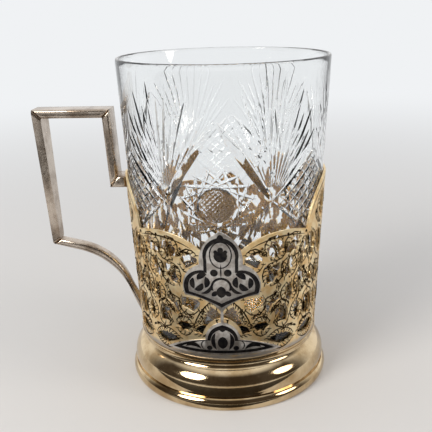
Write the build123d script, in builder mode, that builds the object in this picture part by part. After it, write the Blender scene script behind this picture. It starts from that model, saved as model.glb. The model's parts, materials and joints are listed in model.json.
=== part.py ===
from build123d import *

import os
from math import cos, degrees, radians, sin

# A tea glass holder: a pierced, gilt sleeve on a spun foot, with silver plaques inlaid with
# niello, a mitred strap handle, and the cut-crystal glass that stands in it.
# Sizes are in millimetres. +Z is up, the origin is on the glass's axis in the plane that the
# foot stands on, the front medallion faces -Y, and the handle points to -X.

# Tea glass
glass_height = 92.2
glass_base_radius = 29.85
glass_rim_radius = 34.7
glass_base_thickness = 8.0
glass_wall = 2.6
glass_lip_wall = 1.3
glass_base_bevel = 1.0
glass_bowl_fillet = 4.0

# Wheel cuts in the glass: three tall and three low diamonds meet corner to corner at the waist,
# and a fan of rays opens upwards from each corner. Heights are above or below the waist.
cut_waist = 51.2
cut_turn = -1.3
tall_diamond_rise = 25.0
low_diamond_rise = 13.7
low_cut_lift = 0.4
cut_slope = 1.2
fan_rays = 4
fan_inner_angle = 27.0
fan_outer_angle = 39.0
ray_start = 4.5
ray_length = 36.5
ray_depth = 0.8
ray_slope = 1.4
wheel_reach = 3.0

# Foot, from the table up: rim ring, groove, ovolo, cavetto, lip
foot_height = 17.0
rim_height = 4.0
rim_spread = 1.05
rim_curl = 0.7
groove_height = 1.5
groove_depth = 0.5
ovolo_height = 7.0
cavetto_depth = 1.25
lip_height = 0.6
lip_projection = 0.25
foot_wall = 0.9
flange_width = 5.5
floor_sheet = 0.8
floor_clearance = 0.1

# Pierced sleeve: heights are above its seat on the foot
glass_clearance = 0.25
sleeve_sheet = 0.7
sleeve_border = 0.9
saw_clearance = 2.0
lobe_start_height = 37.0
lobe_height = 42.0
cusp_height = 40.3
cusp_angle = 55.0
peak_height = 55.2
peak_shoulder_height = 51.3
peak_shoulder_share = 0.76

# Silver plaques: heights are above the sleeve's seat
plaque_proud = 0.2
medallion_width = 23.4
medallion_height = 27.0
medallion_foot = 16.8
cartouche_width = 37.2
cartouche_height = 12.0
cartouche_foot = 1.4
stem_width = 0.9

# Niello in the plaques
niello_depth = 0.25
niello_margin = 0.9
niello_line = 0.8
bud_radius = 1.5
point_inset_ratio = 1.5
wing_inset_ratio = 3.0

# Handle: distances are out from the sleeve's wall, heights above the table. The strut hangs
# below the sleeve's peak, and the tail stands above the sleeve's seat.
handle_top = 93.4
handle_reach = 29.1
handle_depth = 8.8
bar_thickness = 2.9
riser_gap = 2.8
edge_break = 0.9
strut_drop = 5.4
strut_thickness = 4.0
arm_corner_height = 45.5
arm_depth = 4.2
arm_tail_rise = 1.4
arm_tail_depth = 3.4
arm_thickness = 2.9

# Each opening of a quarter of the sleeve is two arcs through four points: tip, side, tip, side.
# A point is the angle from the medallion's centre line, in degrees round the axis, and the
# height, in percent of the low lobes' height.
leaf_openings = [
    ((2.3, 51.4), (-1.4, 34.3), (16.7, 21.4), (10.4, 37.1)),
    ((23.4, 52.4), (17.1, 53.8), (12.4, 46.7), (20.2, 39.0)),
    ((28.4, 24.8), (23.4, 30.5), (18.0, 26.0), (23.8, 20.7)),
    ((46.8, 10.2), (36.0, 16.6), (26.3, 12.4), (35.6, 6.2)),
    ((41.0, 33.8), (36.4, 41.4), (31.7, 32.8), (36.4, 24.3)),
    ((35.6, 45.2), (28.6, 46.6), (27.4, 34.8), (30.6, 41.8)),
    ((41.8, 57.6), (37.6, 48.6), (42.8, 41.2), (45.0, 48.8)),
    ((42.5, 78.6), (37.3, 70.5), (38.9, 61.4), (43.9, 69.0)),
    ((34.0, 76.0), (26.8, 71.4), (26.1, 59.0), (33.4, 65.7)),
    ((36.4, 91.0), (27.4, 92.6), (26.4, 82.4), (33.1, 81.4)),
    ((50.0, 91.9), (41.4, 93.0), (38.0, 81.4), (46.4, 82.4)),
    ((23.4, 80.5), (18.7, 86.0), (13.0, 82.4), (19.4, 73.8)),
    ((54.4, 91.5), (50.6, 80.5), (48.6, 69.5), (55.6, 79.0)),
    ((71.1, 10.2), (60.8, 17.2), (50.4, 10.2), (60.8, 6.2)),
    ((85.2, 10.2), (79.9, 16.6), (74.6, 10.2), (79.9, 6.2)),
    ((49.4, 23.0), (45.4, 31.0), (48.0, 40.0), (51.8, 31.0)),
    ((64.0, 31.4), (59.0, 41.9), (54.4, 31.4), (59.0, 21.9)),
    ((71.4, 21.4), (72.4, 31.0), (68.0, 41.4), (67.0, 31.0)),
    ((86.2, 31.4), (80.6, 41.9), (75.0, 31.4), (80.6, 21.9)),
    ((49.6, 65.4), (47.0, 54.8), (49.0, 45.2), (54.4, 54.8)),
    ((58.0, 64.3), (56.8, 54.8), (61.0, 46.2), (63.2, 56.2)),
    ((65.9, 63.3), (66.6, 52.4), (73.4, 46.2), (73.2, 57.6)),
    ((77.4, 63.4), (77.4, 53.8), (86.4, 47.6), (85.4, 59.0)),
    ((58.6, 93.3), (57.6, 80.0), (59.6, 68.6), (65.0, 81.0)),
    ((69.1, 91.0), (67.4, 77.6), (75.2, 67.6), (76.8, 83.3)),
    ((81.4, 93.0), (79.8, 81.9), (87.1, 69.5), (87.5, 84.3)),
    ((72.4, 121.0), (68.4, 108.1), (73.4, 96.2), (78.4, 110.0)),
    ((83.0, 113.0), (81.4, 105.0), (87.1, 96.7), (87.6, 106.7)),
]

# Niello leaves, in four points too: in a side lobe, out from its centre, and in a wing, as a
# share of the half width and a height above the plaque's foot.
lobe_leaf = ((1.2, 2.3), (-1.6, 1.2), (-0.4, -2.0), (-0.1, 0.6))
wing_leaf = ((0.25, 1.9), (0.36, 3.3), (0.52, 2.1), (0.38, 2.2))

# Heights and radii that follow from the sizes above
floor_top = foot_height + floor_sheet
total_height = floor_top + glass_height
sleeve_top = foot_height + peak_height
beyond = 2 * glass_rim_radius


def glass_radius(z):
    """Outside radius of the glass's straight taper at a height."""
    return glass_base_radius + (glass_rim_radius - glass_base_radius) * (z - floor_top) / glass_height


def sleeve_inside(z):
    return glass_radius(z) + glass_clearance


def sleeve_outside(z):
    return sleeve_inside(z) + sleeve_sheet


def plaque_outside(z):
    return sleeve_outside(z) + plaque_proud


def niello_bed(z):
    return plaque_outside(z) - niello_depth


def above_seat(height):
    return foot_height + height


def off_wall(distance, z):
    """Point of the handle's outline, measured out from the sleeve's wall."""
    return (-sleeve_outside(z) - distance, z)


def wall_point(turn, z, inset=0.0):
    """Point on the glass's outside, or below it, at an angle from the front and a height."""
    radius = glass_radius(z) - inset
    return Vector(radius * sin(radians(turn)), -radius * cos(radians(turn)), z)


def wheel_section(start, end, slope):
    """V section of a wheel's cut, at the start of the straight line that its bottom follows."""
    along = end - start
    outward = Vector(start.X + end.X, start.Y + end.Y, 0)
    with BuildSketch(Plane(start, outward.cross(along), along)) as section:
        with BuildLine():
            Polyline((0, 0), (wheel_reach * slope, wheel_reach), (-wheel_reach * slope, wheel_reach), close=True)
        make_face()
    return section.sketch


def tapered_wall(inside, outside, bottom, top):
    """Ring of conical wall between two surfaces and two heights."""
    with BuildPart() as ring:
        with BuildSketch(Plane.XZ):
            with BuildLine():
                Polyline(
                    (inside(bottom), bottom),
                    (outside(bottom), bottom),
                    (outside(top), top),
                    (inside(top), top),
                    close=True,
                )
            make_face()
        revolve(axis=Axis.Z)
    return ring.part


def two_arc_face(plane, first_tip, first_side, second_tip, second_side):
    """Leaf or crescent: an arc out through one side and an arc back through the other."""
    with BuildSketch(plane) as leaf:
        with BuildLine():
            ThreePointArc(first_tip, first_side, second_tip)
            ThreePointArc(second_tip, second_side, first_tip)
        make_face()
    return leaf.sketch


def medallion_face(inset=0.0):
    """Three-lobed outline: pointed crown, two side lobes, hollow lower edges to a point."""
    half = medallion_width / 2 - inset
    foot = above_seat(medallion_foot) + point_inset_ratio * inset
    height = medallion_height - 2 * point_inset_ratio * inset
    waist = (0.575 * half, foot + 0.60 * height)
    corner = (0.985 * half, foot + 0.193 * height)
    with BuildSketch(Plane.XZ) as face:
        with BuildLine():
            ThreePointArc((0, foot + height), (0.455 * half, foot + 0.83 * height), waist)
            ThreePointArc(waist, (0.945 * half, foot + 0.465 * height), corner)
            ThreePointArc(corner, (0.46 * half, foot + 0.155 * height), (0, foot))
            mirror(about=Plane.YZ)
        make_face()
    return face.sketch


def cartouche_face(inset=0.0):
    """Low outline: a domed middle between two wings that run out to points."""
    half = cartouche_width / 2 - wing_inset_ratio * inset
    foot = above_seat(cartouche_foot) + inset
    height = cartouche_height - (1 + point_inset_ratio) * inset
    shoulder = (0.15 * cartouche_width - inset, foot + 0.46 * height)
    crown = (0.75 * shoulder[0], foot + 0.80 * height)
    with BuildSketch(Plane.XZ) as face:
        with BuildLine():
            ThreePointArc((0, foot + height), crown, shoulder)
            ThreePointArc(shoulder, (0.67 * half, foot + 0.31 * height), (half, foot))
            Line((half, foot), (0, foot))
            mirror(about=Plane.YZ)
        make_face()
    return face.sketch


# Bottom lines of the wheel's cuts. A straight cut between two points of the round wall is deepest
# in the middle, and a ray starts deep at its corner and runs out towards the rim.
waist = floor_top + cut_waist
cut_lines = []
for panel in range(6):
    center = cut_turn + 60 * panel
    tall = panel % 2 == 0
    rise = tall_diamond_rise if tall else low_diamond_rise
    lift = 0.0 if tall else -low_cut_lift
    for side in (-30, 30):
        for tip in (waist + rise, waist - rise):
            cut_lines.append((wall_point(center + side, waist, lift), wall_point(center, tip, lift), cut_slope))
    toward_low = 1 if tall else -1
    for ray in range(fan_rays):
        lean = -fan_inner_angle + (fan_inner_angle + fan_outer_angle) * ray / (fan_rays - 1)
        length = ray_length * cos(radians(lean))
        ends = []
        for reach, inset in ((ray_start, ray_depth), (length, 0.0)):
            z = waist + reach * cos(radians(lean))
            across = degrees(reach * sin(radians(lean)) / glass_radius(waist))
            ends.append(wall_point(center + 30 + toward_low * across, z, inset))
        cut_lines.append((*ends, ray_slope))

# Tea glass
with BuildPart() as tea_glass:
    with BuildSketch(Plane.XZ):
        with BuildLine():
            bowl_floor = floor_top + glass_base_thickness
            Polyline(
                (0, floor_top),
                (glass_base_radius - glass_base_bevel, floor_top),
                (glass_radius(floor_top + glass_base_bevel), floor_top + glass_base_bevel),
                (glass_rim_radius, total_height),
                (glass_rim_radius - glass_lip_wall, total_height),
                (glass_radius(bowl_floor) - glass_wall, bowl_floor),
                (0, bowl_floor),
                close=True,
            )
        make_face()
    revolve(axis=Axis.Z)
    bowl_edge = tea_glass.edges().filter_by(GeomType.CIRCLE).group_by(Axis.Z)[2]
    fillet(bowl_edge, glass_bowl_fillet)
    lip_edges = tea_glass.edges().filter_by(GeomType.CIRCLE).group_by(Axis.Z)[-1]
    chamfer(lip_edges, glass_lip_wall / 3)
    for start, end, slope in cut_lines:
        section = wheel_section(start, end, slope)
        extrude(section, amount=(end - start).length, mode=Mode.SUBTRACT)

# Walls that the sleeve, the plaques and the niello are cut from
sleeve_wall = tapered_wall(sleeve_inside, sleeve_outside, foot_height, sleeve_top)
plaque_wall = tapered_wall(sleeve_inside, plaque_outside, foot_height, sleeve_top)
niello_wall = tapered_wall(niello_bed, plaque_outside, foot_height, sleeve_top)

# Medallion: the niello is a line round the border, a bud over two berries, and a leaf in each side lobe
bud_height = above_seat(medallion_foot) + 0.73 * medallion_height
lobe_center = (0.70 * medallion_width / 2, above_seat(medallion_foot) + 0.36 * medallion_height)
with BuildSketch(Plane.XZ) as medallion_flower:
    with Locations((0, bud_height)):
        Ellipse(bud_radius, 1.15 * bud_radius)
    with Locations((0, bud_height - 3.1 * bud_radius)):
        with GridLocations(2.3 * bud_radius, 0, 2, 1):
            Circle(0.65 * bud_radius)
scroll_leaves = []
for side in (-1, 1):
    corners = [(side * (lobe_center[0] - u), lobe_center[1] + v) for u, v in lobe_leaf]
    scroll_leaves.append(two_arc_face(Plane.XZ, *corners))

medallion_line = medallion_face(niello_margin)
medallion_field = medallion_face(niello_margin + niello_line)
with BuildPart() as front_medallion_niello:
    extrude(medallion_line, amount=beyond)
    extrude(medallion_field, amount=beyond, mode=Mode.SUBTRACT)
    extrude(medallion_flower.sketch, amount=beyond)
    for leaf in scroll_leaves:
        extrude(leaf, amount=beyond)
    add(niello_wall, mode=Mode.INTERSECT)

medallion_plate = medallion_face()
with BuildPart() as front_medallion:
    add(plaque_wall)
    extrude(medallion_plate, amount=beyond, mode=Mode.INTERSECT)
    add(front_medallion_niello.part, mode=Mode.SUBTRACT)

# Cartouche: the dome carries a bud, each wing a running leaf, and a stem climbs to the medallion
dome_height = above_seat(cartouche_foot) + 0.36 * cartouche_height
with BuildSketch(Plane.XZ) as cartouche_bud:
    with Locations((0, dome_height)):
        Ellipse(0.8 * bud_radius, 1.1 * bud_radius)
wing_faces = []
for side in (-1, 1):
    corners = [(side * u * cartouche_width / 2, above_seat(cartouche_foot) + v) for u, v in wing_leaf]
    wing_faces.append(two_arc_face(Plane.XZ, *corners))

cartouche_line = cartouche_face(niello_margin)
cartouche_field = cartouche_face(niello_margin + niello_line)
with BuildPart() as front_cartouche_niello:
    extrude(cartouche_line, amount=beyond)
    extrude(cartouche_field, amount=beyond, mode=Mode.SUBTRACT)
    extrude(cartouche_bud.sketch, amount=beyond)
    for leaf in wing_faces:
        extrude(leaf, amount=beyond)
    add(niello_wall, mode=Mode.INTERSECT)

cartouche_plate = cartouche_face()
stem_bottom = above_seat(cartouche_foot) + 0.9 * cartouche_height
stem_top = above_seat(medallion_foot) + stem_width
with BuildSketch(Plane.XZ) as stem:
    with Locations((0, stem_bottom)):
        Rectangle(stem_width, stem_top - stem_bottom, align=(Align.CENTER, Align.MIN))
with BuildPart() as cartouche_prism:
    extrude(cartouche_plate, amount=beyond)
    extrude(stem.sketch, amount=beyond)
    extrude(medallion_plate, amount=beyond, mode=Mode.SUBTRACT)
with BuildPart() as front_cartouche:
    add(plaque_wall)
    add(cartouche_prism.part, mode=Mode.INTERSECT)
    add(front_cartouche_niello.part, mode=Mode.SUBTRACT)

# The back repeats the front
with BuildPart() as back_medallion:
    mirror(front_medallion.part, about=Plane.XZ)
with BuildPart() as back_medallion_niello:
    mirror(front_medallion_niello.part, about=Plane.XZ)
with BuildPart() as back_cartouche:
    mirror(front_cartouche.part, about=Plane.XZ)
with BuildPart() as back_cartouche_niello:
    mirror(front_cartouche_niello.part, about=Plane.XZ)

# Sleeve top edge: a low lobe each side of a medallion, a tall lobe over the handle and opposite it
cusp_z = above_seat(cusp_height)
cusp_x = sleeve_outside(cusp_z) * sin(radians(cusp_angle))
cusp_y = sleeve_outside(cusp_z) * cos(radians(cusp_angle))
lobe_start = (0.25 * medallion_width, above_seat(lobe_start_height))
lobe_crest = ((lobe_start[0] + cusp_x) / 2, above_seat(lobe_height))
with BuildSketch(Plane.XZ) as low_lobes:
    with BuildLine():
        Polyline((beyond, foot_height), (beyond, cusp_z), (cusp_x, cusp_z))
        ThreePointArc((cusp_x, cusp_z), lobe_crest, lobe_start)
        Line(lobe_start, (0, lobe_start[1]))
        mirror(about=Plane.YZ)
        Line((-beyond, foot_height), (beyond, foot_height))
    make_face()
shoulder_point = (peak_shoulder_share * cusp_y, above_seat(peak_shoulder_height))
with BuildSketch(Plane.YZ) as tall_lobes:
    with BuildLine():
        ThreePointArc((cusp_y, cusp_z), shoulder_point, (0, sleeve_top))
        Line((cusp_y, cusp_z), (cusp_y, foot_height))
        mirror(about=Plane.YZ)
        Line((-cusp_y, foot_height), (cusp_y, foot_height))
    make_face()
with BuildPart() as sleeve_outline:
    extrude(low_lobes.sketch, amount=beyond, both=True)
    extrude(tall_lobes.sketch, amount=beyond, both=True)

# Saw-pierced openings, drawn on one quarter and mirrored to the other three. A plain border is
# left along the top edge and round the plaques.
top_border = sleeve_outline.part.moved(Location((0, 0, -sleeve_border)))
medallion_border = medallion_face(-sleeve_border)
cartouche_border = cartouche_face(-sleeve_border)
with BuildPart() as piercing:
    for opening in leaf_openings:
        middle = (opening[0][0] + opening[2][0]) / 2
        level = above_seat(lobe_height * (opening[0][1] + opening[2][1]) / 200)
        start = sleeve_inside(level) - saw_clearance
        across = (cos(radians(middle)), sin(radians(middle)), 0)
        outward = (across[1], -across[0], 0)
        wall_plane = Plane((start * outward[0], start * outward[1], 0), across, outward)
        corners = [
            (radians(turn - middle) * sleeve_outside(level), above_seat(lobe_height * percent / 100))
            for turn, percent in opening
        ]
        leaf = two_arc_face(wall_plane, *corners)
        extrude(leaf, amount=sleeve_sheet + 2 * saw_clearance)
    mirror(about=Plane.YZ)
    mirror(about=Plane.XZ)
    add(top_border, mode=Mode.INTERSECT)
    extrude(medallion_border, amount=beyond, both=True, mode=Mode.SUBTRACT)
    extrude(cartouche_border, amount=beyond, both=True, mode=Mode.SUBTRACT)

with BuildPart() as openwork_sleeve:
    add(sleeve_wall)
    add(sleeve_outline.part, mode=Mode.INTERSECT)
    extrude(medallion_plate, amount=beyond, both=True, mode=Mode.SUBTRACT)
    add(cartouche_prism.part, mode=Mode.SUBTRACT)
    add(cartouche_prism.part.mirror(Plane.XZ), mode=Mode.SUBTRACT)
    add(piercing.part, mode=Mode.SUBTRACT)

# Foot: spun shell with an inward flange that carries the sleeve and the floor. Its ovolo swells
# as wide as the sleeve's top.
seat_radius = sleeve_outside(foot_height)
lip_radius = seat_radius + lip_projection
hollow_radius = seat_radius - cavetto_depth
ovolo_radius = sleeve_outside(sleeve_top)
ovolo_projection = ovolo_radius - seat_radius
groove_radius = ovolo_radius - groove_depth
ovolo_bottom = rim_height + groove_height
ovolo_top = ovolo_bottom + ovolo_height
lip_bottom = foot_height - lip_height
flange_radius = seat_radius - flange_width
flange_bottom = foot_height - foot_wall
neck_radius = hollow_radius - foot_wall
with BuildPart() as foot:
    with BuildSketch(Plane.XZ):
        with BuildLine():
            Polyline((flange_radius, foot_height), (lip_radius, foot_height), (lip_radius, lip_bottom))
            ThreePointArc(
                (lip_radius, lip_bottom),
                (hollow_radius, (lip_bottom + ovolo_top) / 2),
                (seat_radius, ovolo_top),
            )
            ThreePointArc(
                (seat_radius, ovolo_top),
                (seat_radius + 0.82 * ovolo_projection, ovolo_bottom + 0.58 * ovolo_height),
                (ovolo_radius, ovolo_bottom),
            )
            Polyline(
                (ovolo_radius, ovolo_bottom),
                (groove_radius, ovolo_bottom),
                (groove_radius, rim_height),
                (groove_radius - foot_wall, rim_height),
                (groove_radius - foot_wall, ovolo_bottom),
                (seat_radius + 0.82 * ovolo_projection - 1.3 * foot_wall, ovolo_bottom + 0.53 * ovolo_height),
                (neck_radius, ovolo_top - foot_wall),
                (neck_radius, flange_bottom),
                (flange_radius, flange_bottom),
                (flange_radius, foot_height),
            )
        make_face()
    revolve(axis=Axis.Z)

rim_inside = groove_radius - foot_wall
rim_radius = ovolo_radius + rim_spread
with BuildPart() as foot_rim:
    with BuildSketch(Plane.XZ):
        with BuildLine():
            rim_foot = (rim_radius - rim_curl, 0)
            rim_top = (groove_radius + groove_depth, rim_height)
            ThreePointArc(rim_foot, (rim_radius, rim_height / 2), rim_top)
            Polyline(rim_top, (rim_inside, rim_height), (rim_inside, 0), rim_foot)
        make_face()
    revolve(axis=Axis.Z)

with BuildPart() as floor_plate:
    with BuildSketch(Plane.XY.offset(foot_height)):
        Circle(sleeve_inside(foot_height) - floor_clearance)
    extrude(amount=floor_sheet)

# Handle: five strap bars that meet in mitres, tapering in depth down to the tail
strut_bottom = sleeve_top - strut_drop
arm_tail_height = above_seat(arm_tail_rise)
top_inside = handle_top - bar_thickness
strut_top = strut_bottom + strut_thickness
top_right = off_wall(riser_gap, handle_top)
top_right_inside = off_wall(riser_gap + bar_thickness, top_inside)
top_left = off_wall(handle_reach, handle_top)
top_left_inside = off_wall(handle_reach - bar_thickness, top_inside)
low_left = off_wall(handle_reach, arm_corner_height)
low_left_inside = off_wall(handle_reach - bar_thickness, arm_corner_height + 0.7 * arm_thickness)
riser_foot = off_wall(riser_gap + bar_thickness, strut_bottom)
riser_foot_inside = off_wall(riser_gap, strut_top)

with BuildPart() as handle_side:
    with BuildSketch(Plane.YZ):
        with BuildLine():
            Polyline(
                (0, handle_top),
                (handle_depth / 2, handle_top),
                (arm_depth / 2, arm_corner_height),
                (arm_tail_depth / 2, arm_tail_height),
                (0, arm_tail_height),
            )
            mirror(about=Plane.YZ)
        make_face()
    extrude(amount=-beyond)

with BuildPart() as wall_core:
    with BuildSketch(Plane.XZ):
        with BuildLine():
            Polyline(
                (0, foot_height),
                (sleeve_outside(foot_height), foot_height),
                (sleeve_outside(sleeve_top), sleeve_top),
                (0, sleeve_top),
                close=True,
            )
        make_face()
    revolve(axis=Axis.Z)

with BuildPart() as handle_strut:
    with BuildSketch(Plane.XZ):
        with BuildLine():
            Polyline(riser_foot, (0, strut_bottom), (0, strut_top), riser_foot_inside, close=True)
        make_face()
    extrude(amount=handle_depth / 2, both=True)
    add(wall_core.part, mode=Mode.SUBTRACT)

with BuildPart() as handle_riser:
    with BuildSketch(Plane.XZ):
        with BuildLine():
            Polyline(riser_foot, riser_foot_inside, top_right, top_right_inside, close=True)
        make_face()
    extrude(amount=handle_depth / 2, both=True)
    chamfer(handle_riser.edges().sort_by(SortBy.LENGTH)[-4:], edge_break)

with BuildPart() as handle_top_bar:
    with BuildSketch(Plane.XZ):
        with BuildLine():
            Polyline(top_right, top_right_inside, top_left_inside, top_left, close=True)
        make_face()
    extrude(amount=handle_depth / 2, both=True)
    chamfer(handle_top_bar.edges().sort_by(SortBy.LENGTH)[-4:], edge_break)

with BuildPart() as handle_outer_bar:
    with BuildSketch(Plane.XZ):
        with BuildLine():
            Polyline(top_left, top_left_inside, low_left_inside, low_left, close=True)
        make_face()
    extrude(amount=handle_depth, both=True)
    add(handle_side.part, mode=Mode.INTERSECT)
    chamfer(handle_outer_bar.edges().sort_by(SortBy.LENGTH)[-4:], edge_break)


def arm_point(distance, share):
    """Point of the lower arm: out from the wall, and a share of the way up from tail to corner."""
    return off_wall(distance * handle_reach, arm_tail_height + share * (arm_corner_height - arm_tail_height))


arm_knee = arm_point(0.66, 0.91)
arm_knee_inside = arm_point(0.66, 0.91 + arm_thickness / (arm_corner_height - arm_tail_height))
with BuildPart() as handle_lower_arm:
    with BuildSketch(Plane.XZ):
        with BuildLine():
            Line(low_left, arm_knee)
            ThreePointArc(arm_knee, arm_point(0.32, 0.70), arm_point(0.125, 0.36))
            ThreePointArc(arm_point(0.125, 0.36), arm_point(0.065, 0.17), arm_point(0.0, 0.0))
            Line(arm_point(0.0, 0.0), arm_point(-0.1, 0.0))
            Line(arm_point(-0.1, 0.0), arm_point(-0.1, 0.1))
            ThreePointArc(arm_point(-0.1, 0.1), arm_point(0.02, 0.26), arm_point(0.10, 0.47))
            ThreePointArc(arm_point(0.10, 0.47), arm_point(0.30, 0.82), arm_knee_inside)
            Line(arm_knee_inside, low_left_inside)
            Line(low_left_inside, low_left)
        make_face()
    extrude(amount=handle_depth, both=True)
    add(handle_side.part, mode=Mode.INTERSECT)
    add(wall_core.part, mode=Mode.SUBTRACT)

pieces = {
    "tea_glass": tea_glass,
    "openwork_sleeve": openwork_sleeve,
    "front_medallion": front_medallion,
    "front_medallion_niello": front_medallion_niello,
    "front_cartouche": front_cartouche,
    "front_cartouche_niello": front_cartouche_niello,
    "back_medallion": back_medallion,
    "back_medallion_niello": back_medallion_niello,
    "back_cartouche": back_cartouche,
    "back_cartouche_niello": back_cartouche_niello,
    "floor_plate": floor_plate,
    "foot": foot,
    "foot_rim": foot_rim,
    "handle_strut": handle_strut,
    "handle_riser": handle_riser,
    "handle_top_bar": handle_top_bar,
    "handle_outer_bar": handle_outer_bar,
    "handle_lower_arm": handle_lower_arm,
}
os.makedirs("parts", exist_ok=True)
for name, piece in pieces.items():
    piece.part.label = name
    export_step(piece.part, f"parts/{name}.step")
    print(name, len(piece.part.solids()), round(piece.part.volume, 1))
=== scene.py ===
# %% [markdown]
# A Russian tea glass in its holder: a crystal glass cut with a wheel, standing in a pierced and
# gilt sleeve on a spun foot, with two silver plaques on each face and a mitred silver handle.
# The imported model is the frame. Every piece here is drawn in millimetres on the frame's own axes
# and becomes metres only when it is finished, so that each size can be read off the real object.

# %% Load the frame
import json
from math import asin, atan2, cos, hypot, pi, radians, sin, sqrt, tau

import bmesh
import bpy
from mathutils import Matrix, Vector

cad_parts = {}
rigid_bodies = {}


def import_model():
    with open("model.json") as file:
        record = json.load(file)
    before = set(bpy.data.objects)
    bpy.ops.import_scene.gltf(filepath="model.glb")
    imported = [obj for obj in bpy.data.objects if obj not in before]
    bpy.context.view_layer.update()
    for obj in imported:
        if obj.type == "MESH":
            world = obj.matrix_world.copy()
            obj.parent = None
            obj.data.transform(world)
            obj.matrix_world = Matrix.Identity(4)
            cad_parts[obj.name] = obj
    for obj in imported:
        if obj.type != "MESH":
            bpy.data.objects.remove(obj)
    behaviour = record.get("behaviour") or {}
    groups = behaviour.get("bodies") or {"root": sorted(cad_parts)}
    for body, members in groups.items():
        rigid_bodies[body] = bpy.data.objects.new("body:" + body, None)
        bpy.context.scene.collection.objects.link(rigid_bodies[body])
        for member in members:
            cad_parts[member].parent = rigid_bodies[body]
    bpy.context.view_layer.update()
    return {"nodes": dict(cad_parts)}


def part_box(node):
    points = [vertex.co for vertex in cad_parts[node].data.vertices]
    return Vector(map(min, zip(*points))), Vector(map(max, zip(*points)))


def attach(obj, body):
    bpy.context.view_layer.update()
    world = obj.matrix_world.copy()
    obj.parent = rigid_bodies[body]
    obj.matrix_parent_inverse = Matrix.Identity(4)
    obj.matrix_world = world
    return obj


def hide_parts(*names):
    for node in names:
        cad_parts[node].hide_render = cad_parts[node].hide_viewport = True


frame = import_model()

MM = 0.001
scene = bpy.context.scene

# %% [markdown]
# Four heights of the frame place everything that follows: the glass's seat and rim, and the foot
# and peak of the sleeve. They are rounded to a thousandth of a millimetre, so that each run cuts
# exactly the same shapes. The sleeve and the plaques lie a little outside the glass's taper, by
# the distances given here.

# %% Sizes from the frame
glass_low, glass_high = (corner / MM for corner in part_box("tea_glass"))
sleeve_low, sleeve_high = (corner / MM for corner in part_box("openwork_sleeve"))
SEAT = round(glass_low.z, 3)
RIM = round(glass_high.z, 3)
FOOT_TOP = round(sleeve_low.z, 3)
PEAK = round(sleeve_high.z, 3)
BASE_RADIUS = 29.85
RIM_RADIUS = 34.7
SLEEVE_INSIDE = 0.25
SLEEVE_OUTSIDE = 0.95
PLAQUE_OUTSIDE = 1.15
ROLL_RADIUS = 32.0


def wall_radius(z):
    """Outside radius of the glass at a height."""
    return BASE_RADIUS + (RIM_RADIUS - BASE_RADIUS) * (z - SEAT) / (RIM - SEAT)


def rolled(s, z, out):
    """A point of a flat drawing, s round the wall and z up, rolled on to the tapered wall."""
    radius = wall_radius(z) + out
    return Vector((radius * sin(s / ROLL_RADIUS), -radius * cos(s / ROLL_RADIUS), z))


def pressed(x, z, out):
    """A point of a drawing seen from the front, pressed straight back on to the tapered wall."""
    angle = asin(x / (wall_radius(z) + SLEEVE_OUTSIDE))
    return rolled(angle * ROLL_RADIUS, z, out)


print("seat", SEAT, "rim", RIM, "foot", FOOT_TOP, "peak", PEAK)

# %% [markdown]
# Every piece ends the same way: doubles merged, faces turned outwards, broken faces dropped, shaded
# smooth with true edges kept sharp, and tied to the body that carries it. One function does that,
# so that no piece can be forgotten.

# %% Finish a piece
MERGE = 0.002


def finish_piece(name, bm, materials, body, replaced=(), sharp=32):
    """Makes an object in metres from a bmesh in millimetres, riding on a body."""
    bmesh.ops.remove_doubles(bm, verts=bm.verts, dist=MERGE)
    bm.normal_update()
    bmesh.ops.recalc_face_normals(bm, faces=bm.faces)
    bmesh.ops.scale(bm, vec=(MM, MM, MM), verts=bm.verts)
    for face in bm.faces:
        face.smooth = True
    mesh = bpy.data.meshes.new(name)
    bm.to_mesh(mesh)
    bm.free()
    mesh.validate()
    mesh.set_sharp_from_angle(angle=radians(sharp))
    for material in materials:
        mesh.materials.append(material)
    piece = bpy.data.objects.new(name, mesh)
    scene.collection.objects.link(piece)
    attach(piece, body)
    if replaced:
        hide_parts(*replaced)
    print(name, len(mesh.polygons), "faces")


# %% [markdown]
# A Boolean with the Manifold solver cuts hundreds of grooves in less than a second, as long as
# each cutter is a closed shape of its own. The cutters wait in a collection that is never shown,
# and each brings its own material to the faces that it leaves behind.

# %% Cut or join with a collection
def mesh_object(name, bm, materials):
    """An object from a bmesh, which is freed."""
    mesh = bpy.data.meshes.new(name)
    bm.normal_update()
    bmesh.ops.recalc_face_normals(bm, faces=bm.faces)
    bm.to_mesh(mesh)
    bm.free()
    for material in materials:
        mesh.materials.append(material)
    return bpy.data.objects.new(name, mesh)


def applied(body):
    """The bmesh of a working object with its modifier applied. The object goes."""
    depsgraph = bpy.context.evaluated_depsgraph_get()
    mesh = bpy.data.meshes.new_from_object(body.evaluated_get(depsgraph))
    result = bmesh.new()
    result.from_mesh(mesh)
    bpy.data.meshes.remove(mesh)
    bpy.data.meshes.remove(body.data)
    return result


def combine(bm, tools, operation, material, tool_material):
    """Cuts the tools out of a bmesh, or joins them to it, and returns the result."""
    body = mesh_object("combined", bm, [material])
    scene.collection.objects.link(body)
    rack = bpy.data.collections.new("tool_rack")
    for tool in tools:
        rack.objects.link(mesh_object("tool", tool, [tool_material]))
    modifier = body.modifiers.new("combine", "BOOLEAN")
    modifier.operation = operation
    modifier.solver = "MANIFOLD"
    modifier.operand_type = "COLLECTION"
    modifier.collection = rack
    modifier.material_mode = "TRANSFER"
    result = applied(body)
    for tool in list(rack.objects):
        bpy.data.meshes.remove(tool.data)
    bpy.data.collections.remove(rack)
    return result


# %% [markdown]
# Colours are written as the sRGB codes that a paint chart or an eyedropper gives. Blender shades
# in linear light, so one function converts them. Another adds a shader node with its settings and
# its links in one call.

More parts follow.
